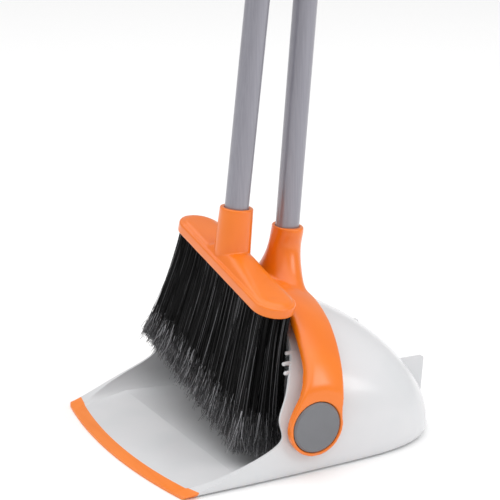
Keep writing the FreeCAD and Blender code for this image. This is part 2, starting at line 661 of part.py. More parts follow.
# ---------------------------------------------------------------- broom head
class BroomHead:
    """The block, its tuft plate and the bristles, set square to the broom's pole."""

    def __init__(self, pole):
        self.pole = pole
        self.base = pole.place(-SOCKET_HEIGHT)
        tilt = Placement(Vector(0, 0, 0), Rotation(Y_AXIS, BLOCK_TILT))
        self.board = self.base.multiply(tilt)

    def on_board(self, height):
        """A placement parallel to the block's underside, height above it."""
        return self.board.multiply(Placement(Vector(BLOCK_SHIFT, 0, height), Rotation()))

    def slab(self, margin, low, high):
        """A block of the head's outline, inset by margin, between two heights."""
        wire = stadium(BLOCK_LENGTH - 2 * margin, BLOCK_WIDTH - 2 * margin, self.on_board(low))
        up = self.board.Rotation.multVec(Z_AXIS)
        return Part.Face(wire).extrude(up * (high - low))

    def block(self):
        """Orange block: rimmed board, raised fairing and the tapered socket."""
        board = self.slab(0, 0, BLOCK_RIM)
        rims = [edge for edge in board.Edges
                if not edge.Closed and self.height_of(edge) > BLOCK_RIM - 0.1]
        board = rounded(board, rims, 1.2)
        crown = Part.makeLoft([
            stadium(BLOCK_LENGTH - 7, BLOCK_WIDTH - 7, self.on_board(BLOCK_RIM - 1)),
            stadium(BLOCK_LENGTH - 16, BLOCK_WIDTH - 16, self.on_board(BLOCK_RIM + 2.4))], True, True)
        ridge_place = self.base.multiply(Placement(Vector(16, 0, 17.0), Rotation(Y_AXIS, 7.0)))
        fairing = Part.makeLoft([
            stadium(BLOCK_LENGTH - 26, BLOCK_WIDTH - 11, self.on_board(BLOCK_RIM - 2)),
            stadium(96, 24, ridge_place)], True, True)
        cone = Part.makeCone(SOCKET_FOOT_RADIUS, SOCKET_TOP_RADIUS, SOCKET_HEIGHT - 5)
        cone.Placement = self.base.multiply(Placement(Vector(0, 0, 5), Rotation()))
        top = [edge for edge in cone.Edges
               if edge.Closed and edge.Length < 2 * math.pi * SOCKET_TOP_RADIUS + 0.5]
        cone = rounded(cone, top, 0.8)
        body = board.fuse([crown, fairing, cone])
        body = body.cut(self.slab(PLATE_MARGIN - 0.3, -0.5, PLATE_THICKNESS))
        body = body.cut(self.pole.rod(TUBE_RADIUS + FIT_GAP, -SOCKET_DEPTH, 5))
        return body.cut(self.pole.screw_hole(SCREW_RADIUS + SCREW_CLEARANCE, SOCKET_SCREW_SEAT))

    def height_of(self, edge):
        """Height of an edge's middle above the block's underside."""
        local = self.board.inverse().multVec(edge.CenterOfMass)
        return local.z

    def tuft_plate(self):
        """Black plate in the block's underside that the tufts are stapled to."""
        return self.slab(PLATE_MARGIN, 0.1, PLATE_THICKNESS - 0.1)

    def bristles(self):
        """The whole bundle as one plain solid that widens to a slanted tip line."""
        top = stadium(BLOCK_LENGTH - 10, BLOCK_WIDTH - 10, self.on_board(-0.2))
        tip_place = self.base.multiply(
            Placement(Vector(TIP_SHIFT, -TIP_FORWARD, -TIP_DROP), Rotation(Y_AXIS, TIP_TILT)))
        tips = stadium(2 * TIP_HALF_LENGTH / math.cos(math.radians(TIP_TILT)), TIP_DEPTH, tip_place)
        bundle = Part.makeLoft([tips, top], True, True)
        reach = 60
        height = COMB_RELIEF_HIGH_Z - COMB_RELIEF_LOW_Z
        for corner_x in (COMB_RELIEF_X, -COMB_RELIEF_X - reach):
            corner = Vector(corner_x, COMB_RELIEF_FRONT_Y, COMB_RELIEF_LOW_Z)
            bundle = bundle.cut(Part.makeBox(reach, reach, height, corner))
        return bundle


def main():
    """Build every sub-part and write it to its own file."""
    os.makedirs("parts", exist_ok=True)
    pan_pole = Pole(PAN_POLE_FOOT, PAN_POLE_LEAN, PAN_JOINER_AT, PAN_TUBE_END)
    brush_pole = Pole(BRUSH_POLE_FOOT, BRUSH_POLE_LEAN, BRUSH_JOINER_AT, BRUSH_TUBE_END)
    head = BroomHead(brush_pole)

    pan_body, pan_lip = pan_parts()
    export("pan_body", pan_body)
    export("pan_lip", pan_lip)
    for name, side in SIDES.items():
        export(name + "_pivot_pin", pivot_pin(side))
        export(name + "_pivot_cap", pivot_cap(side))
    export("pivot_screws", Part.makeCompound([pivot_screw(side) for side in SIDES.values()]))
    export("pivot_washers", Part.makeCompound([pivot_washer(side) for side in SIDES.values()]))

    export("yoke", yoke(pan_pole))
    export("yoke_screw", socket_screw(pan_pole, COLLAR_SCREW_SEAT))
    export("brush_clip", clip(pan_pole, brush_pole))

    export("brush_block", head.block())
    export("block_screw", socket_screw(brush_pole, SOCKET_SCREW_SEAT))
    export("tuft_plate", head.tuft_plate())
    export("bristles", head.bristles())

    for prefix, pole in (("pan", pan_pole), ("brush", brush_pole)):
        export(prefix + "_tube_lower", lower_tube(pole))
        export(prefix + "_tube_upper", upper_tube(pole))
        export(prefix + "_tube_joiner", joiner(pole))
        export(prefix + "_tube_insert", tube_insert(pole))
        export(prefix + "_grip", grip(pole))
        export(prefix + "_grip_sleeve", grip_sleeve(pole))


main()
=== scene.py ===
"""Looks of a long-handled dust pan and its broom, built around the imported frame.

Every length is in metres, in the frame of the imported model: +Z up, the lip of the pan towards -Y and the width
along X. The CAD nodes stay where they are. The fork, the block and the bristles are built anew here.
"""

import json
import logging
import math
from dataclasses import dataclass
from enum import Enum

import bmesh
import bpy
import numpy as np
from mathutils import Matrix, Vector


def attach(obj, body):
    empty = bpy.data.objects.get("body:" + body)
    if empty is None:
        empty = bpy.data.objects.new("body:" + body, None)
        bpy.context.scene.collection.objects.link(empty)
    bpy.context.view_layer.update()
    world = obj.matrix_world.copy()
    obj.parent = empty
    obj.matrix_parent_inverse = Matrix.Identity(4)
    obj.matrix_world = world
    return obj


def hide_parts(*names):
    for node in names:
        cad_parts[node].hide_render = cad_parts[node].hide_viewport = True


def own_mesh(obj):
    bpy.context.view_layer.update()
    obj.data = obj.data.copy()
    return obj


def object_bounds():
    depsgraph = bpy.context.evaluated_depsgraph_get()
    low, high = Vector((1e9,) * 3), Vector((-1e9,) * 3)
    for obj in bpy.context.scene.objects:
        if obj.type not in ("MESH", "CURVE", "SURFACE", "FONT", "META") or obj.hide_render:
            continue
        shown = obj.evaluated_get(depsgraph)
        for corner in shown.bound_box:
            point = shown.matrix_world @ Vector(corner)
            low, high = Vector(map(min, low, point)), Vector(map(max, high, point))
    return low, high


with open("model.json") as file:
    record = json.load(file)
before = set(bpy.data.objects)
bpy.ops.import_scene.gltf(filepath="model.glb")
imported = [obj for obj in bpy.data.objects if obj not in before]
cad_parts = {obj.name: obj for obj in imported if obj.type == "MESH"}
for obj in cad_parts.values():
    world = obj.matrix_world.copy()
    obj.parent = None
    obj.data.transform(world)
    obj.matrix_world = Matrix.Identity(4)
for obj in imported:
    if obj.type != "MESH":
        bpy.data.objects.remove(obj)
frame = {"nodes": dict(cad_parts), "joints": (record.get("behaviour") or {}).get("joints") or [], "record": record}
cad_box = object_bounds()

LOG = logging.getLogger("pan_and_broom")
MM = 0.001
Rgba = tuple[float, float, float, float]
Arrays = dict[str, np.ndarray]
TubeParts = tuple[np.ndarray, np.ndarray, np.ndarray, np.ndarray]


class Slot(Enum):
    """Material slots of the record."""

    WHITE = "white_plastic"
    ORANGE = "orange_plastic"
    LIP = "lip_rubber"
    GREY = "grey_plastic"
    SLEEVE = "grey_soft_grip"
    TUBE = "tube_paint"
    BLACK = "black_plastic"
    FIBRE = "bristle_fibre"
    STEEL = "screw_steel"


class Body(Enum):
    """Bodies that move as one."""

    PAN = "pan"
    HANDLE = "handle"
    BRUSH = "brush"


def linear(red: int, green: int, blue: int) -> Rgba:
    """Turn a colour of 0 to 255 a channel into scene-linear values.

    Args:
        red: red channel, 0 to 255.
        green: green channel, 0 to 255.
        blue: blue channel, 0 to 255.

    Returns:
        Linear red, green, blue and an alpha of 1.
    """
    values = []
    for channel in (red, green, blue):
        share = channel / 255
        values.append(share / 12.92 if share <= 0.04045 else ((share + 0.055) / 1.055) ** 2.4)
    return (values[0], values[1], values[2], 1.0)


def named(entries: list[dict], name: str) -> dict:
    """Return the one entry that has a name."""
    return next(entry for entry in entries if entry["name"] == name)


# ---- shader building blocks
class NodeBench:
    """Adds nodes to one tree and joins them."""

    def __init__(self, tree: bpy.types.NodeTree) -> None:
        """Keep the tree that the nodes go in."""
        self.tree = tree

    def add(self, kind: str, values: dict | None = None, **settings: object) -> bpy.types.Node:
        """Add one node.

        Args:
            kind: the node's type name without its "ShaderNode" start, or a full type name.
            values: plain values or sockets to link, by input name or index.
            **settings: attributes to set on the node.

        Returns:
            The new node.
        """
        full = kind if kind.startswith("NodeGroup") else "ShaderNode" + kind
        node = self.tree.nodes.new(full)
        for name, value in settings.items():
            setattr(node, name, value)
        self.feed(node, values or {})
        return node

    def join(self, source: bpy.types.NodeSocket, target: bpy.types.NodeSocket) -> None:
        """Link an output to an input."""
        self.tree.links.new(source, target)

    def feed(self, node: bpy.types.Node, values: dict) -> None:
        """Link sockets to a node's inputs, or set the inputs to plain values, by name or index.

        Args:
            node: the node whose inputs are fed.
            values: sockets or plain values, by input name or index.
        """
        for key, value in values.items():
            if isinstance(value, bpy.types.NodeSocket):
                self.join(value, node.inputs[key])
            else:
                node.inputs[key].default_value = value

    def place(self) -> bpy.types.NodeSocket:
        """Return the socket of the object's own coordinates."""
        return self.add("TexCoord").outputs["Object"]

    def noise(self, place: bpy.types.NodeSocket, scale: bpy.types.NodeSocket | float,
              detail: float = 2.0, roughness: float = 0.5) -> bpy.types.NodeSocket:
        """Add a noise texture.

        Args:
            place: coordinates that the noise is taken at.
            scale: its scale, a socket or a number.
            detail: how many finer layers it has.
            roughness: how strong the finer layers are.

        Returns:
            The noise value's socket.
        """
        return self.add("TexNoise", {"Vector": place, "Scale": scale, "Detail": detail,
                                     "Roughness": roughness}).outputs["Fac"]

    def between(self, share: bpy.types.NodeSocket, low: bpy.types.NodeSocket | float,
                high: bpy.types.NodeSocket | float) -> bpy.types.NodeSocket:
        """Return the socket of a value that a share picks between a low and a high one."""
        return self.add("Mix", {0: share, 2: low, 3: high}, data_type="FLOAT").outputs[0]

    def bump(self, height: bpy.types.NodeSocket, strength: float,
             distance: float) -> bpy.types.NodeSocket:
        """Return the normal of a bump that is at most a distance high."""
        return self.add("Bump", {"Height": height, "Strength": strength,
                                 "Distance": distance}).outputs["Normal"]

    def ramp(self, source: bpy.types.NodeSocket, low: float, high: float,
             to_low: float = 0.0, to_high: float = 1.0) -> bpy.types.NodeSocket:
        """Map a value smoothly from one range to another.

        Args:
            source: the value to map.
            low: the value that gives to_low.
            high: the value that gives to_high.
            to_low: result at low.
            to_high: result at high.

        Returns:
            The mapped value's socket.
        """
        values = {"Value": source, "From Min": low, "From Max": high, "To Min": to_low, "To Max": to_high}
        return self.add("MapRange", values, interpolation_type="SMOOTHSTEP").outputs["Result"]

    def blend(self, share: bpy.types.NodeSocket | float, first: object,
              second: object) -> bpy.types.NodeSocket:
        """Mix two colours.

        Args:
            share: how much of the second colour there is, a socket or a number.
            first: socket or colour.
            second: socket or colour.

        Returns:
            The mixed colour's socket.
        """
        node = self.add("Mix", data_type="RGBA")
        colours = [index for index, socket in enumerate(node.inputs) if socket.type == "RGBA"]
        self.feed(node, {0: share, colours[0]: first, colours[1]: second})
        return [socket for socket in node.outputs if socket.type == "RGBA"][0]

    def sum(self, first: bpy.types.NodeSocket, second: bpy.types.NodeSocket | float,
            operation: str = "ADD") -> bpy.types.NodeSocket:
        """Combine two values.

        Args:
            first: the first value.
            second: a socket or a number.
            operation: the math operation.

        Returns:
            The result's socket.
        """
        return self.add("Math", {0: first, 1: second}, operation=operation).outputs[0]


class EffectGroup:
    """A shader node group with named inputs and outputs, built once and used by many finishes."""

    name = "effect"
    inputs: tuple[tuple[str, str, object], ...] = ()
    outputs: tuple[tuple[str, str], ...] = ()

    @classmethod
    def tree(cls) -> bpy.types.NodeTree:
        """Return the group, made at its first use.

        Returns:
            The node group.
        """
        found = bpy.data.node_groups.get(cls.name)
        if found:
            return found
        group = bpy.data.node_groups.new(cls.name, "ShaderNodeTree")
        for label, kind, default in cls.inputs:
            socket = group.interface.new_socket(name=label, in_out="INPUT", socket_type=kind)
            socket.default_value = default
        for label, kind in cls.outputs:
            group.interface.new_socket(name=label, in_out="OUTPUT", socket_type=kind)
        bench = NodeBench(group)
        entry = bench.add("NodeGroupInput")
        leave = bench.add("NodeGroupOutput")
        cls.fill(bench, entry.outputs, leave.inputs)
        return group

    @classmethod
    def fill(cls, bench: NodeBench, given: object, result: object) -> None:
        """Build what is inside the group, between its given inputs and its results."""
        raise NotImplementedError

    @classmethod
    def placed(cls, bench: NodeBench, **values: object) -> bpy.types.Node:
        """Place the group in a material with its own values.

        Args:
            bench: the material's bench.
            **values: plain values or sockets, with underscores for spaces in the inputs' names.

        Returns:
            The group node.
        """
        node = bench.add("Group")
        node.node_tree = cls.tree()
        bench.feed(node, {label.replace("_", " "): value for label, value in values.items()})
        return node


class MouldedSkin(EffectGroup):
    """Surface of a moulded part: fine grain, slow sink marks and slow changes of shade."""

    name = "moulded_skin"
    inputs = (
        ("Colour", "NodeSocketColor", (0.8, 0.8, 0.8, 1.0)),
        ("Deep Colour", "NodeSocketColor", (0.7, 0.7, 0.7, 1.0)),
        ("Grain Scale", "NodeSocketFloat", 900.0),
        ("Gloss Low", "NodeSocketFloat", 0.25),
        ("Gloss High", "NodeSocketFloat", 0.4),
    )
    outputs = (("Colour", "NodeSocketColor"), ("Roughness", "NodeSocketFloat"),
               ("Height", "NodeSocketFloat"))

    @classmethod
    def fill(cls, bench: NodeBench, given: object, result: object) -> None:
        """Fine noise makes the grain, and slow noise the shade, the gloss and the sink marks.

        Args:
            bench: the group's bench.
            given: the group's input values.
            result: the sockets that take the results.
        """
        place = bench.place()
        grain = bench.noise(place, given["Grain Scale"], 3.0, 0.6)
        slow = bench.noise(place, 18.0)
        patch = bench.noise(place, 70.0, 4.0, 0.65)
        shade = bench.ramp(slow, 0.35, 0.65)
        bench.join(bench.blend(shade, given["Colour"], given["Deep Colour"]), result["Colour"])
        worn = bench.ramp(patch, 0.3, 0.7)
        bench.join(bench.between(worn, given["Gloss Low"], given["Gloss High"]), result["Roughness"])
        sink = bench.sum(slow, 0.5, "MULTIPLY")
        bench.join(bench.sum(grain, sink), result["Height"])


class EdgeRub(EffectGroup):
    """Where edges and corners are rubbed paler by hands and floors."""

    name = "edge_rub"
    inputs = (
        ("Colour", "NodeSocketColor", (0.8, 0.8, 0.8, 1.0)),
        ("Rubbed Colour", "NodeSocketColor", (1.0, 1.0, 1.0, 1.0)),
        ("Start", "NodeSocketFloat", 0.53),
        ("Amount", "NodeSocketFloat", 0.5),
    )
    outputs = (("Colour", "NodeSocketColor"),)

    @classmethod
    def fill(cls, bench: NodeBench, given: object, result: object) -> None:
        """Pointed places, broken up by a fine noise, take the rubbed colour.

        Args:
            bench: the group's bench.
            given: the group's input values.
            result: the sockets that take the results.
        """
        pointed = bench.add("NewGeometry").outputs["Pointiness"]
        over = bench.sum(pointed, given["Start"], "SUBTRACT")
        raised = bench.ramp(over, 0.0, 0.06)
        speck = bench.noise(bench.place(), 260.0, 4.0, 0.7)
        broken = bench.ramp(speck, 0.3, 0.6, 0.35, 1.0)
        mask = bench.sum(bench.sum(raised, broken, "MULTIPLY"), given["Amount"], "MULTIPLY")
        bench.join(bench.blend(mask, given["Colour"], given["Rubbed Colour"]), result["Colour"])


class SettledDust(EffectGroup):
    """A thin broken film of pale dust on what faces up."""

    name = "settled_dust"
    inputs = (
        ("Colour", "NodeSocketColor", (0.8, 0.8, 0.8, 1.0)),
        ("Dust Colour", "NodeSocketColor", (0.6, 0.57, 0.52, 1.0)),
        ("Amount", "NodeSocketFloat", 0.1),
    )
    outputs = (("Colour", "NodeSocketColor"), ("Mask", "NodeSocketFloat"))

    @classmethod
    def fill(cls, bench: NodeBench, given: object, result: object) -> None:
        """The upward share of the normal, broken up by a noise, is where dust lies.

        Args:
            bench: the group's bench.
            given: the group's input values.
            result: the sockets that take the results.
        """
        parts = bench.add("SeparateXYZ", {0: bench.add("NewGeometry").outputs["Normal"]})
        upward = bench.ramp(parts.outputs["Z"], 0.3, 1.0)
        cloud = bench.noise(bench.place(), 35.0, 5.0, 0.7)
        lying = bench.sum(upward, bench.ramp(cloud, 0.4, 0.75), "MULTIPLY")
        mask = bench.sum(lying, given["Amount"], "MULTIPLY")
        bench.join(mask, result["Mask"])
        bench.join(bench.blend(mask, given["Colour"], given["Dust Colour"]), result["Colour"])


# ---- finishes
@dataclass(frozen=True)
class Finish:
    """What every finish has: a name, and the way to make its material."""

    name: str
    slot: Slot

    def material(self) -> bpy.types.Material:
        """Return the finish's material, made at its first use.

        Returns:
            The material.
        """
        found = bpy.data.materials.get(self.name)
        if found:
            return found
        made = bpy.data.materials.new(self.name)
        made.use_nodes = True
        bench = NodeBench(made.node_tree)
        self.dress(bench, made.node_tree.nodes["Principled BSDF"])
        return made

    def dress(self, bench: NodeBench, shader: bpy.types.Node) -> None:
        """Join this finish's nodes to the material's shader."""
        raise NotImplementedError


@dataclass(frozen=True)
class MouldedPlastic(Finish):
    """Injection-moulded plastic."""

    colour: Rgba = (0.8, 0.8, 0.8, 1.0)
    deep: Rgba = (0.7, 0.7, 0.7, 1.0)
    rubbed: Rgba = (1.0, 1.0, 1.0, 1.0)
    gloss: tuple[float, float] = (0.28, 0.38)
    grain_scale: float = 900.0
    grain_height: float = 0.04
    rub: float = 0.35
    dust: float = 0.08
    specular: float = 0.5
    coat: float = 0.0
    coat_gloss: float = 0.15

    def dress(self, bench: NodeBench, shader: bpy.types.Node) -> None:
        """Skin, then rubbed edges, then dust, with the skin's grain as a bump.

        Args:
            bench: the material's bench.
            shader: the material's shader.
        """
        skin = MouldedSkin.placed(bench, Colour=self.colour, Deep_Colour=self.deep,
                                  Grain_Scale=self.grain_scale, Gloss_Low=self.gloss[0],
                                  Gloss_High=self.gloss[1])
        edge = EdgeRub.placed(bench, Colour=skin.outputs["Colour"], Rubbed_Colour=self.rubbed,
                              Amount=self.rub)
        film = SettledDust.placed(bench, Colour=edge.outputs["Colour"], Amount=self.dust)
        bench.feed(shader, {
            "Base Color": film.outputs["Colour"],
            "Roughness": bench.sum(skin.outputs["Roughness"], film.outputs["Mask"]),
            "Normal": bench.bump(skin.outputs["Height"], self.grain_height, 0.4 * MM),
            "Specular IOR Level": self.specular,
            "Coat Weight": self.coat,
            "Coat Roughness": self.coat_gloss,
        })


@dataclass(frozen=True)
class PaintedTube(Finish):
    """Satin lilac-grey powder paint on a drawn steel tube."""

    colour: Rgba = (0.35, 0.35, 0.4, 1.0)
    deep: Rgba = (0.3, 0.3, 0.35, 1.0)
    roughness: tuple[float, float] = (0.3, 0.42)
    dust: float = 0.05
    peel_height: float = 0.05
    metallic: float = 0.35
    coat: float = 0.3
    coat_gloss: float = 0.2

    def dress(self, bench: NodeBench, shader: bpy.types.Node) -> None:
        """Long faint draw lines along the tube, orange-peel paint and a few scuffs.

        Args:
            bench: the material's bench.
            shader: the material's shader.
        """
        place = bench.place()
        stretch = bench.add("Mapping", {"Vector": place, "Scale": (1.0, 1.0, 0.02)})
        lines = bench.noise(stretch.outputs["Vector"], 700.0)
        peel = bench.noise(place, 1400.0)
        worn = bench.ramp(bench.noise(place, 120.0, 6.0, 0.75), 0.55, 0.75)
        tone = bench.blend(bench.ramp(lines, 0.3, 0.7), self.colour, self.deep)
        film = SettledDust.placed(bench, Colour=tone, Amount=self.dust)
        bench.feed(shader, {
            "Base Color": film.outputs["Colour"],
            "Roughness": bench.between(worn, *self.roughness),
            "Normal": bench.bump(bench.sum(peel, lines), self.peel_height, 0.3 * MM),
            "Metallic": self.metallic,
            "Coat Weight": self.coat,
            "Coat Roughness": self.coat_gloss,
        })


@dataclass(frozen=True)
class BrightSteel(Finish):
    """Zinc-plated steel of screws and washers."""

    bright: Rgba = linear(186, 186, 182)
    dull: Rgba = linear(142, 142, 140)
    rubbed: Rgba = linear(225, 225, 222)

    def dress(self, bench: NodeBench, shader: bpy.types.Node) -> None:
        """Cloudy plating with bright edges.

        Args:
            bench: the material's bench.
            shader: the material's shader.
        """
        cloud = bench.noise(bench.place(), 400.0, 4.0)
        tone = bench.blend(bench.ramp(cloud, 0.3, 0.7), self.bright, self.dull)
        edge = EdgeRub.placed(bench, Colour=tone, Rubbed_Colour=self.rubbed, Amount=0.5)
        bench.feed(shader, {"Base Color": edge.outputs["Colour"], "Metallic": 1.0,
                            "Roughness": bench.ramp(cloud, 0.3, 0.7, 0.25, 0.45)})


@dataclass(frozen=True)
class Fibre(Finish):
    """Drawn synthetic fibre that goes from a root colour to an end colour, with some strands painted paler; on the
    shafts these pale strands are painted highlights, streaks of light on the glossy black fibre.
    """

    root: Rgba = (0.01, 0.01, 0.01, 1.0)
    end: Rgba = (0.03, 0.03, 0.03, 1.0)
    pale_strand: Rgba = (0.08, 0.08, 0.08, 1.0)
    roughness: float = 0.4
    specular: float = 0.5
    pale_strand_from: float = 0.55

    def dress(self, bench: NodeBench, shader: bpy.types.Node) -> None:
        """The strand's own marks choose whether it is painted pale (a painted highlight streak on the shafts), the
        share along it sets its tone, and a fine noise sets its gloss.

        Args:
            bench: the material's bench.
            shader: the material's shader.
        """
        along = bench.add("Attribute", attribute_name="along")
        strand = bench.add("Attribute", attribute_name="strand")
        tone = bench.blend(bench.ramp(along.outputs["Fac"], 0.0, 1.0), self.root, self.end)
        # Painted highlight streaks on the shafts: strands with a high mark take the pale colour.
        pale_strand_share = bench.ramp(strand.outputs["Fac"], self.pale_strand_from, 1.0)
        gloss = bench.noise(bench.place(), 900.0)
        bench.feed(shader, {
            "Base Color": bench.blend(pale_strand_share, tone, self.pale_strand),
            "Roughness": bench.ramp(gloss, 0.3, 0.7, self.roughness - 0.08, self.roughness + 0.12),
            "Specular IOR Level": self.specular,
        })


@dataclass(frozen=True)
class StudioFloor(Finish):
    """Plain pale studio floor."""

    colour: Rgba = (0.9, 0.9, 0.9, 1.0)

    def dress(self, bench: NodeBench, shader: bpy.types.Node) -> None:
        """One pale tone with hardly any gloss."""
        bench.feed(shader, {"Base Color": self.colour, "Roughness": 0.9, "Specular IOR Level": 0.1})


WHITE_SHELL = MouldedPlastic("white_gloss_shell", Slot.WHITE, linear(218, 218, 220), linear(214, 215, 217),
                             linear(246, 246, 246), gloss=(0.22, 0.27), grain_height=0.006, rub=0.0,
                             dust=0.0, coat=0.2)
ORANGE_SATIN = MouldedPlastic("orange_satin", Slot.ORANGE, linear(242, 122, 4), linear(238, 117, 2),
                              linear(252, 160, 80), gloss=(0.3, 0.36), grain_height=0.02, rub=0.25,
                              dust=0.0, coat=0.4, coat_gloss=0.22)
ORANGE_SOFT = MouldedPlastic("orange_soft_strip", Slot.LIP, linear(248, 134, 40), linear(244, 129, 36),
                             linear(252, 168, 110), gloss=(0.45, 0.53), grain_height=0.05, rub=0.15,
                             dust=0.02)
GREY_FINE = MouldedPlastic("grey_fine_grain", Slot.GREY, linear(116, 117, 121), linear(111, 112, 116),
                           linear(150, 150, 154), gloss=(0.4, 0.48), grain_scale=1500.0,
                           grain_height=0.08, rub=0.3, dust=0.0)
GREY_SOFT = MouldedPlastic("grey_soft_sleeve", Slot.SLEEVE, linear(92, 93, 98), linear(84, 85, 90),
                           linear(120, 120, 126), gloss=(0.58, 0.7), grain_scale=1200.0,
                           grain_height=0.2, rub=0.3, dust=0.05)
BLACK_PLAIN = MouldedPlastic("black_plain", Slot.BLACK, linear(26, 26, 27), linear(20, 20, 21),
                             linear(60, 60, 62), gloss=(0.45, 0.55), rub=0.3, dust=0.02)
TUBE_PAINT = PaintedTube("lilac_grey_tube", Slot.TUBE, linear(150, 149, 158), linear(143, 142, 151))
STEEL = BrightSteel("bright_steel", Slot.STEEL)
# The shafts' pale strands are painted highlights: streaks of light on the glossy black fibre, not fibres of
# another colour.
FIBRE_SHAFT = Fibre("fibre_shaft", Slot.FIBRE, linear(6, 6, 7), linear(11, 11, 12), linear(118, 118, 121),
                    roughness=0.4, specular=0.2, pale_strand_from=0.86)
FIBRE_TIP = Fibre("fibre_tip", Slot.FIBRE, linear(22, 22, 23), linear(74, 74, 76), linear(172, 172, 176),
                  roughness=0.55, specular=0.35, pale_strand_from=0.5)
FLOOR_PALE = StudioFloor("floor_pale", Slot.WHITE, (0.98, 0.98, 0.98, 1.0))

NODE_FINISHES: dict[str, Finish] = {
    "pan_body": WHITE_SHELL,
    "pan_lip": ORANGE_SOFT,
    "left_pivot_pin": BLACK_PLAIN,
    "right_pivot_pin": BLACK_PLAIN,
    "left_pivot_cap": GREY_FINE,
    "right_pivot_cap": GREY_FINE,
    "pivot_screws": STEEL,
    "pivot_washers": STEEL,
    "yoke": ORANGE_SATIN,
    "yoke_screw": STEEL,
    "brush_clip": GREY_FINE,
    "brush_block": ORANGE_SATIN,
    "block_screw": STEEL,
    "tuft_plate": BLACK_PLAIN,
}
for _handle in ("pan", "brush"):
    NODE_FINISHES[_handle + "_tube_lower"] = TUBE_PAINT
    NODE_FINISHES[_handle + "_tube_upper"] = TUBE_PAINT
    NODE_FINISHES[_handle + "_tube_joiner"] = GREY_FINE
    NODE_FINISHES[_handle + "_tube_insert"] = BLACK_PLAIN
    NODE_FINISHES[_handle + "_grip"] = ORANGE_SATIN
    NODE_FINISHES[_handle + "_grip_sleeve"] = GREY_SOFT


# ---- shared making
def dressed(piece: bpy.types.Object, finish: Finish) -> bpy.types.Object:
    """Give a piece one finish all over.

    Args:
        piece: the mesh object.
        finish: the finish it takes.

    Returns:
        The same piece.
    """
    piece.data.materials.clear()
    piece.data.materials.append(finish.material())
    for polygon in piece.data.polygons:
        polygon.material_index = 0
    return piece


def new_piece(name: str, mesh: bpy.types.Mesh, finish: Finish, body: Body) -> bpy.types.Object:
    """Put a new mesh in the scene, dress it, and let it ride on its body.

    Args:
        name: the piece's name.
        mesh: its mesh, in the frame's own place.
        finish: the finish it takes.
        body: the body it moves with.

    Returns:
        The new object.
    """
    piece = bpy.data.objects.new(name, mesh)
    bpy.context.scene.collection.objects.link(piece)
    dressed(piece, finish)
    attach(piece, body.value)
    return piece


def applied(piece: bpy.types.Object) -> bpy.types.Mesh:
    """Return a mesh with the piece's modifiers worked into it."""
    graph = bpy.context.evaluated_depsgraph_get()
    return bpy.data.meshes.new_from_object(piece.evaluated_get(graph))


def remeshed(piece: bpy.types.Object, voxel: float) -> None:
    """Turn a piece's mesh into one even skin, which joins the volumes that overlap in it.

    Args:
        piece: the mesh object.
        voxel: edge length of the new skin's faces.
    """
    modifier = piece.modifiers.new("even_skin", "REMESH")
    modifier.mode = "VOXEL"
    modifier.voxel_size = voxel
    mesh = applied(piece)
    piece.modifiers.clear()
    piece.data = mesh


def coordinates(mesh: bpy.types.Mesh) -> np.ndarray:
    """Return a mesh's points as rows.

    Args:
        mesh: the mesh that is read.

    Returns:
        One row of x, y and z for each point.
    """
    points = np.empty(len(mesh.vertices) * 3, np.float32)
    mesh.vertices.foreach_get("co", points)
    return points.reshape(-1, 3).astype(float)


def put_points(mesh: bpy.types.Mesh, points: np.ndarray) -> None:
    """Move a mesh's points to new places."""
    mesh.vertices.foreach_set("co", points.astype(np.float32).ravel())
    mesh.update()


def relaxed(mesh: bpy.types.Mesh, weight: np.ndarray, passes: int) -> None:
    """Pull each point towards the middle of its neighbours, which rounds edges and inner corners.

    Args:
        mesh: the mesh to change.
        weight: how far each point may move at a pass, 0 to 1.
        passes: how many times.
    """
    points = coordinates(mesh)
    count = len(points)
    edges = np.empty(len(mesh.edges) * 2, np.int32)
    mesh.edges.foreach_get("vertices", edges)
    first, second = edges.reshape(-1, 2).T
    both = np.concatenate([first, second])
    other = np.concatenate([second, first])
    degree = np.maximum(np.bincount(both, minlength=count), 1)
    for _ in range(passes):
        middle = np.stack([np.bincount(both, points[other, axis], count) for axis in range(3)], axis=1)
        points += (middle / degree[:, None] - points) * weight[:, None]
    put_points(mesh, points)
    mesh.shade_smooth()


def bridged(builder: bmesh.types.BMesh, rows: list[list[bmesh.types.BMVert]]) -> None:
    """Close the bands between rings of equally many points with quads.

    Args:
        builder: the mesh under construction.
        rows: the rings' points, from the first ring to the last.
    """
    for low, high in zip(rows, rows[1:]):
        for index in range(len(low)):
            after = (index + 1) % len(low)
            builder.faces.new((low[index], low[after], high[after], high[index]))


def eased(values: np.ndarray, low: float, high: float) -> np.ndarray:
    """Smooth steps from 0 at low to 1 at high."""
    share = np.clip((values - low) / (high - low), 0, 1)
    return share * share * (3 - 2 * share)


# ---- fork
@dataclass
class Fork:
    """The fork's skin: the plain CAD solid with the soft moulded rounding of the real one."""

    voxel: float = 1.0 * MM
    all_over_weight: float = 0.5
    all_over_passes: int = 4
    shoulder_weight: float = 0.6
    shoulder_passes: int = 48
    eye_clear: float = 34.0 * MM
    full_at: float = 60.0 * MM
    collar_start: float = 172.0 * MM
    collar_end: float = 196.0 * MM

    def build(self) -> bpy.types.Object:
        """Build the skin from the CAD node and round it, most where the arms meet the collar.

        Returns:
            The fork's piece.
        """
        pivot = named(frame["joints"], "handle_fold")["pos_m"]
        piece = new_piece("fork_skin", frame["nodes"]["yoke"].data.copy(), ORANGE_SATIN, Body.HANDLE)
        remeshed(piece, self.voxel)
        points = coordinates(piece.data)
        relaxed(piece.data, np.full(len(points), self.all_over_weight), self.all_over_passes)
        away = np.hypot(points[:, 1] - pivot[1], points[:, 2] - pivot[2])
        weight = eased(away, self.eye_clear, self.full_at)
        weight *= 1 - eased(points[:, 2], self.collar_start, self.collar_end)
        relaxed(piece.data, weight * self.shoulder_weight, self.shoulder_passes)
        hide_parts("yoke")
        return piece


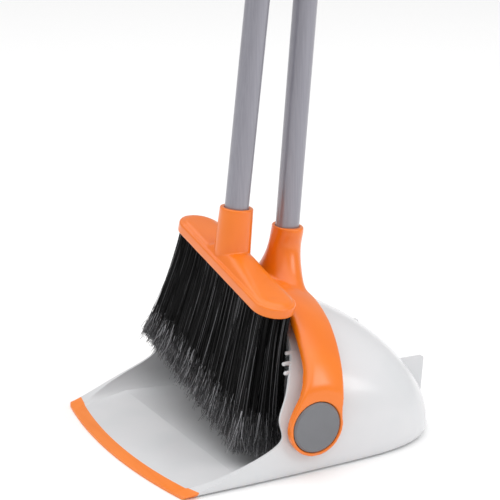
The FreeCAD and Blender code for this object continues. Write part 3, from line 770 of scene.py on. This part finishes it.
# ---- the broom's own frame
@dataclass
class BroomFrame:
    """Where the broom's pole and board are."""

    hole_to_foot: float = 702.0 * MM
    socket_height: float = 63.0 * MM
    board_tilt: float = math.radians(11.7)
    board_shift: float = 7.5 * MM

    def axis(self) -> Vector:
        """Direction up the pole, as its slide has it."""
        return Vector(named(frame["joints"], "brush_lift")["axis"]).normalized()

    def base(self) -> Matrix:
        """Place of the socket's foot, with the pole as its Z.

        Returns:
            The place, from the slide's direction and the hanging hole.
        """
        hole = Vector(named(frame["record"]["mounts"], "brush_hang_hole")["pos_m"])
        foot = hole - self.axis() * (self.hole_to_foot + self.socket_height)
        lean = math.atan2(self.axis().y, self.axis().z)
        return Matrix.Translation(foot) @ Matrix.Rotation(-lean, 4, "X")

    def board(self) -> Matrix:
        """Place of the board's underside, with X along the board towards its low end."""
        tilted = self.base() @ Matrix.Rotation(self.board_tilt, 4, "Y")
        return tilted @ Matrix.Translation((self.board_shift, 0, 0))


# ---- broom block
@dataclass
class BroomBlock:
    """The block: a rimmed board with a low hump that falls away from the socket."""

    half_length: float = 105.5 * MM
    half_width: float = 23.0 * MM
    rim: float = 11.0 * MM
    edge_radius: float = 1.8 * MM
    pocket_margin: float = 3.7 * MM
    pocket_depth: float = 4.0 * MM
    foot_inset: float = 0.5 * MM
    foot_rise: float = 0.6 * MM
    ledge: float = 3.4 * MM
    crown: float = 3.0 * MM
    rise_length: float = 2.4 * MM
    hump: float = 8.5 * MM
    hump_half_width: float = 18.5 * MM
    hump_start: tuple[float, float] = (-34.0 * MM, -22.0 * MM)
    hump_from: float = 12.0 * MM
    hump_to: float = 84.0 * MM
    hump_fall: float = 1.15
    hump_side: float = 2.6
    hump_flatness: float = 0.8
    socket_radius_low: float = 19.2 * MM
    socket_radius_high: float = 17.3 * MM
    socket_from: float = 5.0 * MM
    socket_bore: float = 12.56 * MM
    mouth_edge: float = 1.0 * MM
    bore_depth: float = 26.0 * MM
    screw_drop: float = 22.0 * MM
    screw_seat: float = 15.9 * MM
    sink_radius: float = 3.7 * MM
    voxel: float = 0.75 * MM
    relax_weight: float = 0.5
    relax_passes: int = 4
    side_points: int = 70
    end_points: int = 28
    edge_steps: int = 6
    top_rings: int = 25
    socket_points: int = 96

    def ring(self, inset: float) -> np.ndarray:
        """Points of the board's outline, drawn in by an inset.

        Args:
            inset: how far in from the rim.

        Returns:
            One row of x and y for each point.
        """
        radius = max(self.half_width - inset, 1e-6)
        flat = self.half_length - self.half_width
        across = np.linspace(-flat, flat, self.side_points, endpoint=False)
        turn = np.linspace(-math.pi / 2, math.pi / 2, self.end_points, endpoint=False)
        front = np.stack([across, np.full(len(across), -radius)], axis=1)
        near = np.stack([flat + radius * np.cos(turn), radius * np.sin(turn)], axis=1)
        return np.concatenate([front, near, -front, -near])

    def top(self, outline: np.ndarray, inset: float) -> np.ndarray:
        """Height of the board's upper side at points of one ring.

        Args:
            outline: the ring's points.
            inset: how far in from the rim the ring is.

        Returns:
            Heights above the underside.
        """
        rise = 1 - math.exp(-max(0.0, inset - self.ledge) / self.rise_length)
        along = outline[:, 0]
        falling = np.clip((self.hump_to - along) / (self.hump_to - self.hump_from), 0, 1)
        across = 1 - np.clip(np.abs(outline[:, 1]) / self.hump_half_width, 0, 1) ** self.hump_side
        share = falling ** self.hump_fall * eased(along, *self.hump_start) * across ** self.hump_flatness
        return self.rim + self.crown * rise + self.hump * share

    def profile(self) -> list[tuple[float, float | None]]:
        """Insets and heights of the rings from the pocket, round the rim, to the middle of the top.

        Returns:
            One pair for each ring, with None as the height where the ring lies on the shaped top.
        """
        rings: list[tuple[float, float | None]] = [
            (self.half_width, self.pocket_depth), (self.half_width * 0.6, self.pocket_depth),
            (self.pocket_margin, self.pocket_depth), (self.pocket_margin, 0.0),
            (self.foot_inset, 0.0), (0.0, self.foot_rise)]
        for turn in np.linspace(0, math.pi / 2, self.edge_steps + 1):
            rings.append((self.edge_radius * (1 - math.cos(turn)),
                          self.rim - self.edge_radius * (1 - math.sin(turn))))
        inner = np.linspace(self.edge_radius, self.half_width, self.top_rings + 1)[1:]
        rings += [(float(inset), None) for inset in inner]
        return rings

    def board_mesh(self, builder: bmesh.types.BMesh, place: Matrix) -> None:
        """Add the board to a mesh under construction.

        Args:
            builder: the mesh under construction.
            place: the board's place.
        """
        rows = []
        for inset, height in self.profile():
            outline = self.ring(inset)
            heights = self.top(outline, inset) if height is None else np.full(len(outline), height)
            rows.append([builder.verts.new(place @ Vector((x, y, z)))
                         for (x, y), z in zip(outline, heights)])
        bridged(builder, rows)

    def socket_mesh(self, builder: bmesh.types.BMesh, place: Matrix, height: float) -> None:
        """Add the socket, turned about the pole.

        Args:
            builder: the mesh under construction.
            place: place of the socket's foot, with the pole as Z.
            height: height of the socket's mouth above its foot.
        """
        edge = self.mouth_edge
        outline = [(0.0, self.socket_from), (self.socket_radius_low, self.socket_from),
                   (self.socket_radius_high + 0.02 * edge, height - edge),
                   (self.socket_radius_high - 0.3 * edge, height - 0.3 * edge),
                   (self.socket_radius_high - edge, height), (self.socket_bore + 0.4 * edge, height),
                   (self.socket_bore, height - 0.5 * edge), (self.socket_bore, height - self.bore_depth),
                   (0.0, height - self.bore_depth)]
        turns = [2 * math.pi * point / self.socket_points for point in range(self.socket_points)]
        bridged(builder, [[builder.verts.new(place @ Vector((radius * math.cos(turn),
                                                             radius * math.sin(turn), z)))
                           for turn in turns] for radius, z in outline])

    def sink_screw(self, mesh: bpy.types.Mesh, broom: BroomFrame) -> None:
        """Press the round seat of the socket's screw into the skin.

        Args:
            mesh: the block's skin.
            broom: where the broom is.
        """
        place = broom.base()
        centre = np.array(place @ Vector((0, 0, broom.socket_height - self.screw_drop)))
        back = np.array(place.to_3x3() @ Vector((0, 1, 0)))
        points = coordinates(mesh)
        out = (points - centre) @ back
        aside = np.linalg.norm(points - centre - out[:, None] * back, axis=1)
        sunk = (out > self.screw_seat) & (aside < self.sink_radius)
        points[sunk] -= (out[sunk] - self.screw_seat)[:, None] * back
        put_points(mesh, points)

    def build(self, broom: BroomFrame) -> bpy.types.Object:
        """Build the block as one moulded skin.

        Args:
            broom: where the broom is.

        Returns:
            The block's piece.
        """
        builder = bmesh.new()
        self.board_mesh(builder, broom.board())
        self.socket_mesh(builder, broom.base(), broom.socket_height)
        bmesh.ops.remove_doubles(builder, verts=builder.verts, dist=1e-6)
        bmesh.ops.recalc_face_normals(builder, faces=builder.faces)
        mesh = bpy.data.meshes.new("block_skin")
        builder.to_mesh(mesh)
        builder.free()
        piece = new_piece("block_skin", mesh, ORANGE_SATIN, Body.BRUSH)
        remeshed(piece, self.voxel)
        relaxed(piece.data, np.full(len(piece.data.vertices), self.relax_weight), self.relax_passes)
        self.sink_screw(piece.data, broom)
        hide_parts("brush_block")
        return piece


# ---- bristles
@dataclass
class Bristles:
    """Tufts of split-end fibres that fan out from the board to a slanted tip line."""

    columns: int = 34
    rows: int = 7
    strands_per_tuft: int = 34
    board_half_length: float = 102.5 * MM
    board_half_width: float = 19.0 * MM
    tip_tilt: float = math.radians(13.9)
    tip_half_length: float = 124.0 * MM
    tip_half_depth: float = 29.0 * MM
    round_from: float = 0.82
    tuft_root: tuple[float, float] = (1.9 * MM, 1.7 * MM)
    tuft_tip: tuple[float, float] = (4.2 * MM, 4.0 * MM)
    tuft_lean: tuple[float, float] = (1.6 * MM, 1.4 * MM)
    strand_lean: tuple[float, float] = (1.5 * MM, 1.3 * MM)
    side_stray: float = 1.5 * MM
    length_stray: float = 1.4 * MM
    more_highlight_streaks_along: float = 0.05
    straight_share: float = 0.3
    wave_size: float = 0.55 * MM
    wave_turn: float = 5.0
    tip_drop: float = 132.5 * MM
    tip_forward: float = 7.0 * MM
    tip_shift: float = -4.0 * MM
    shaft_radius: float = 0.30 * MM
    shaft_end: float = 0.8
    split_radius: tuple[float, float] = (0.297 * MM, 0.2025 * MM)
    split_from: float = 0.80
    split_stray: tuple[float, float] = (-0.03, 0.06)
    split_to: tuple[float, float] = (0.965, 1.01)
    spread: tuple[float, float, float] = (2.8 * MM, 2.8 * MM, 0.98 * MM)
    crinkle: float = 0.8 * MM
    spread_power: float = 1.4
    mark_power: float = 1.4
    splits: int = 3
    shaft_steps: int = 9
    split_steps: int = 6
    pieces: int = 6
    folded_length: float = 0.66
    seed: int = 7

    def outline(self, across: np.ndarray, along: np.ndarray) -> np.ndarray:
        """Square-grid places pulled into a shape with round ends.

        Args:
            across: places over the width, from -1 to 1.
            along: places over the length, from -1 to 1.

        Returns:
            Lengthwise places, drawn in near the ends where the row is off the middle.
        """
        rest = 1 - self.round_from
        end = np.clip((np.abs(along) - self.round_from) / rest, 0, 1)
        pulled = self.round_from + rest * np.sqrt(np.clip(1 - across ** 2, 0, 1)) * end
        return np.where(end > 0, np.sign(along) * np.minimum(np.abs(along), pulled), along)

    def strands(self, rng: np.random.Generator) -> Arrays:
        """Roots on the board's underside, tips about the tip line, and the marks of all strands.

        Args:
            rng: seeded random source.

        Returns:
            Arrays by name: root, tip, mark, bow and phase.
        """
        column = (np.arange(self.columns) + 0.5) / self.columns * 2 - 1
        row = (np.arange(self.rows) + 0.5) / self.rows * 2 - 1
        along, across = np.meshgrid(column, row, indexing="ij")
        along = along + np.where(np.arange(self.rows) % 2 == 0, 0.5, -0.5) / self.columns
        along, across = along.ravel(), across.ravel()
        along = self.outline(across, np.clip(along, -1, 1))
        count = len(along) * self.strands_per_tuft
        along = np.repeat(along, self.strands_per_tuft)
        across = np.repeat(across, self.strands_per_tuft)
        turn = rng.uniform(0, 2 * math.pi, count)
        out = np.sqrt(rng.uniform(0, 1, count))
        tuft = np.stack([np.cos(turn) * out, np.sin(turn) * out], axis=1)
        lean = rng.normal(0, 1, (count // self.strands_per_tuft, 2))
        lean = np.repeat(lean, self.strands_per_tuft, axis=0)
        loose = rng.normal(0, 1, (count, 2))
        grid = np.stack([along, across], axis=1)
        root = grid * (self.board_half_length, self.board_half_width) + tuft * self.tuft_root
        tip = grid * (self.tip_half_length, self.tip_half_depth) + tuft * self.tuft_tip
        tip += lean * self.tuft_lean + loose * self.strand_lean
        limit = self.tip_half_depth + self.side_stray
        tip[:, 1] = np.clip(tip[:, 1], -limit, limit)
        drop = rng.normal(0, 1, count) * self.length_stray
        root = np.column_stack([root, np.zeros(count)])
        tip = np.column_stack([tip, -drop])
        # The mark picks the shafts that are painted pale as highlight streaks, a few more of them towards one end
        # of the board.
        mark = np.clip(rng.uniform(0, 1, count) + self.more_highlight_streaks_along * along, 0, 1)
        return {"root": root, "tip": tip, "mark": mark,
                "bow": rng.normal(0, 1, (count, 2)), "phase": rng.uniform(0, 2 * math.pi, count)}

    def tip_place(self) -> Matrix:
        """Place of the middle of the tip line in the socket's own frame."""
        offset = Matrix.Translation((self.tip_shift, -self.tip_forward, -self.tip_drop))
        return offset @ Matrix.Rotation(self.tip_tilt, 4, "Y")

    @staticmethod
    def moved(points: np.ndarray, place: Matrix) -> np.ndarray:
        """Points carried to a place."""
        matrix = np.array(place)
        return points @ matrix[:3, :3].T + matrix[:3, 3]

    def placed_strands(self, broom: BroomFrame, rng: np.random.Generator) -> Arrays:
        """Carry all strands to the broom's place in the frame.

        Args:
            broom: where the broom is.
            rng: seeded random source.

        Returns:
            The strands' arrays, with "down" as the way each strand leaves the board.
        """
        data = self.strands(rng)
        base = broom.base()
        data["root"] = self.moved(data["root"], broom.board())
        data["tip"] = self.moved(data["tip"], base @ self.tip_place())
        down = np.array(broom.board().to_3x3() @ Vector((0, 0, -1)))
        data["down"] = np.repeat(down[None, :], len(data["root"]), axis=0)
        return data

    def on_line(self, data: Arrays, share: np.ndarray) -> np.ndarray:
        """Points on the strands at shares of their length.

        Args:
            data: the strands' arrays.
            share: one row of shares for each strand.

        Returns:
            Points, one row of them for each strand.
        """
        root, tip, down = (data[key][:, None, :] for key in ("root", "tip", "down"))
        length = np.linalg.norm(tip - root, axis=2, keepdims=True)
        s = share[:, :, None]
        middle = root + down * length * self.straight_share
        point = (1 - s) ** 2 * root + 2 * s * (1 - s) * middle + s ** 2 * tip
        side = np.column_stack([data["bow"], np.zeros(len(data["bow"]))])
        phase = data["phase"][:, None, None]
        wave = np.sin(s * self.wave_turn + phase) - np.sin(phase)
        return point + side[:, None, :] * wave * s * self.wave_size

    @staticmethod
    def tubes(lines: np.ndarray, radii: np.ndarray, marks: np.ndarray, along: np.ndarray) -> TubeParts:
        """Thin three-sided tubes round many lines.

        Args:
            lines: points, strands by steps by 3.
            radii: radius at each step.
            marks: one number for each strand.
            along: how far towards the tip each step is.

        Returns:
            Vertices, faces, and the mark and the share along of each vertex.
        """
        count, steps, _ = lines.shape
        heading = np.gradient(lines, axis=1)
        heading /= np.linalg.norm(heading, axis=2, keepdims=True) + 1e-12
        helper = np.array([0.0, 1.0, 0.2])
        first = np.cross(heading, helper)
        first /= np.linalg.norm(first, axis=2, keepdims=True) + 1e-12
        second = np.cross(heading, first)
        rings = []
        for corner in range(3):
            turn = 2 * math.pi * corner / 3
            offset = first * math.cos(turn) + second * math.sin(turn)
            rings.append(lines + offset * radii[None, :, None])
        vertices = np.stack(rings, axis=2).reshape(-1, 3)
        start = (np.arange(count) * steps * 3)[:, None, None]
        step = (np.arange(steps - 1) * 3)[None, :, None]
        corner = np.arange(3)[None, None, :]
        after = (corner + 1) % 3
        low = start + step
        faces = np.stack([low + corner, low + after, low + 3 + after, low + 3 + corner], axis=3)
        vertex_marks = np.repeat(marks, steps * 3)
        vertex_along = np.tile(np.repeat(along, 3), count)
        return vertices, faces.reshape(-1, 4), vertex_marks, vertex_along

    @staticmethod
    def mesh(name: str, parts: TubeParts) -> bpy.types.Mesh:
        """Make a mesh of quads with the strands' marks on its points.

        Args:
            name: the mesh's name.
            parts: what tubes returns.

        Returns:
            The mesh.
        """
        vertices, faces, marks, along = parts
        mesh = bpy.data.meshes.new(name)
        mesh.vertices.add(len(vertices))
        mesh.vertices.foreach_set("co", vertices.astype(np.float32).ravel())
        mesh.loops.add(faces.size)
        mesh.loops.foreach_set("vertex_index", faces.astype(np.int32).ravel())
        mesh.polygons.add(len(faces))
        mesh.polygons.foreach_set("loop_start", np.arange(0, faces.size, 4, dtype=np.int32))
        mesh.update(calc_edges=True)
        mesh.validate()
        for label, values in (("strand", marks), ("along", along)):
            attribute = mesh.attributes.new(label, "FLOAT", "POINT")
            attribute.data.foreach_set("value", values.astype(np.float32))
        mesh.shade_smooth()
        return mesh

    def shaft_parts(self, data: Arrays) -> TubeParts:
        """Whole strands from the board to where they split.

        Args:
            data: the strands' arrays.

        Returns:
            Their tubes.
        """
        share = np.linspace(0, self.split_from - self.split_stray[0], self.shaft_steps)
        lines = self.on_line(data, np.repeat(share[None, :], len(data["root"]), axis=0))
        radii = np.linspace(1.0, self.shaft_end, self.shaft_steps) * self.shaft_radius
        return self.tubes(lines, radii, data["mark"], share / share[-1])

    def split_parts(self, data: Arrays, rng: np.random.Generator) -> TubeParts:
        """Fine crinkled ends that spread from each strand.

        Args:
            data: the strands' arrays.
            rng: seeded random source.

        Returns:
            Their tubes.
        """
        steps = self.split_steps
        many = {key: np.repeat(value, self.splits, axis=0) for key, value in data.items()}
        count = len(many["root"])
        reach = rng.uniform(*self.split_to, count)
        start = self.split_from + rng.uniform(*self.split_stray, count)
        part = np.linspace(0, 1, steps)
        share = start[:, None] + (reach - start)[:, None] * part[None, :]
        lines = self.on_line(many, share)
        spread = rng.normal(0, 1, (count, 1, 3)) * self.spread
        crinkle = rng.normal(0, 1, (count, steps, 3)) * self.crinkle
        grow = part[None, :, None]
        lines = lines + spread * grow ** self.spread_power + crinkle * grow
        radii = np.linspace(*self.split_radius, steps)
        marks = rng.uniform(0, 1, count) ** self.mark_power
        return self.tubes(lines, radii, marks, part)

    def build(self, broom: BroomFrame) -> list[bpy.types.Object]:
        """Build all bristles in a few pieces from the far end to the near end.

        Args:
            broom: where the broom is.

        Returns:
            The pieces.
        """
        rng = np.random.default_rng(self.seed)
        data = self.placed_strands(broom, rng)
        order = np.argsort(data["root"][:, 0], kind="stable")
        made = []
        for number, chosen in enumerate(np.array_split(order, self.pieces), start=1):
            part = {key: value[chosen] for key, value in data.items()}
            groups = (("bristle_shafts", self.shaft_parts(part), FIBRE_SHAFT),
                      ("bristle_split_ends", self.split_parts(part, rng), FIBRE_TIP))
            for label, arrays, finish in groups:
                name = f"{label}_{number}"
                piece = new_piece(name, self.mesh(name, arrays), finish, Body.BRUSH)
                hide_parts("bristles")
                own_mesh(piece)
                made.append(piece)
        return made


# ---- studio
@dataclass(frozen=True)
class SoftLight:
    """A square area light: where it stands, the length of its side and its watts."""

    name: str
    place: tuple[float, float, float]
    size: float
    power: float


SOFT_LIGHTS = (
    SoftLight("overhead", (0.2, -0.4, 4.0), size=7.0, power=185),
    SoftLight("front_strip", (-0.5, -2.6, 1.2), size=1.0, power=5),
    SoftLight("key_right", (2.2, 1.8, 1.8), size=1.3, power=22),
)


@dataclass
class Studio:
    """Floor, soft lights and camera."""

    azimuth: float = math.radians(61)
    elevation: float = math.radians(18)
    distance: float = 1.963
    lens: float = 136.8
    sensor: float = 36.0
    target: tuple[float, float, float] = (0.0, 0.0083, 0.1935)
    floor_half: float = 6.0
    floor_gap: float = 0.2 * MM
    room_light: float = 0.5

    def camera(self) -> bpy.types.Object:
        """Make the camera that looks at the pan and the lower part of the handles.

        Returns:
            The camera.
        """
        back = Vector((math.sin(self.azimuth) * math.cos(self.elevation),
                       -math.cos(self.azimuth) * math.cos(self.elevation), math.sin(self.elevation)))
        data = bpy.data.cameras.new("camera")
        data.lens = self.lens
        data.sensor_width = self.sensor
        camera = bpy.data.objects.new("camera", data)
        bpy.context.scene.collection.objects.link(camera)
        camera.location = Vector(self.target) + back * self.distance
        camera.rotation_mode = "QUATERNION"
        camera.rotation_quaternion = (-back).to_track_quat("-Z", "Y")
        bpy.context.scene.camera = camera
        return camera

    def softbox(self, soft: SoftLight) -> None:
        """Make one of the soft lights, facing the object.

        Args:
            soft: the light's place, size and power.
        """
        data = bpy.data.lights.new(soft.name, "AREA")
        data.shape = "SQUARE"
        data.size = soft.size
        data.energy = soft.power
        light = bpy.data.objects.new(soft.name, data)
        bpy.context.scene.collection.objects.link(light)
        light.location = soft.place
        aim = Vector(self.target) - Vector(soft.place)
        light.rotation_mode = "QUATERNION"
        light.rotation_quaternion = aim.to_track_quat("-Z", "Y")

    def world(self) -> None:
        """Fill light from all round."""
        world = bpy.data.worlds.new("soft_room")
        world.use_nodes = True
        background = world.node_tree.nodes["Background"]
        background.inputs["Color"].default_value = (1, 1, 1, 1)
        background.inputs["Strength"].default_value = self.room_light
        bpy.context.scene.world = world

    def floor(self) -> bpy.types.Object:
        """Make the pale floor just under the object.

        Returns:
            The floor.
        """
        mesh = bpy.data.meshes.new("floor")
        half = self.floor_half
        corners = [(-half, -half, 0), (half, -half, 0), (half, half, 0), (-half, half, 0)]
        mesh.from_pydata(corners, [], [(0, 1, 2, 3)])
        floor = bpy.data.objects.new("floor", mesh)
        floor.location.z = cad_box[0].z - self.floor_gap
        bpy.context.scene.collection.objects.link(floor)
        dressed(floor, FLOOR_PALE)
        return floor

    def build(self) -> None:
        """Set the whole studio up."""
        self.camera()
        self.floor()
        self.world()
        for soft in SOFT_LIGHTS:
            self.softbox(soft)
        bpy.context.scene.view_settings.view_transform = "Standard"


def dress_cad_nodes() -> None:
    """Give every carried-over CAD node its finish."""
    for name, finish in NODE_FINISHES.items():
        dressed(frame["nodes"][name], finish)
        LOG.info("%s: %s", name, finish.name)


def main() -> None:
    """Build the looks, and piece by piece."""
    logging.basicConfig(level=logging.INFO, format="%(name)s: %(message)s")
    Studio().build()
    dress_cad_nodes()
    broom = BroomFrame()
    LOG.info("%s: %d faces", "fork_skin", len(Fork().build().data.polygons))
    LOG.info("%s: %d faces", "block_skin", len(BroomBlock().build(broom).data.polygons))
    for piece in Bristles().build(broom):
        LOG.info("%s: %d faces", piece.name, len(piece.data.polygons))


if __name__ == "__main__":
    main()
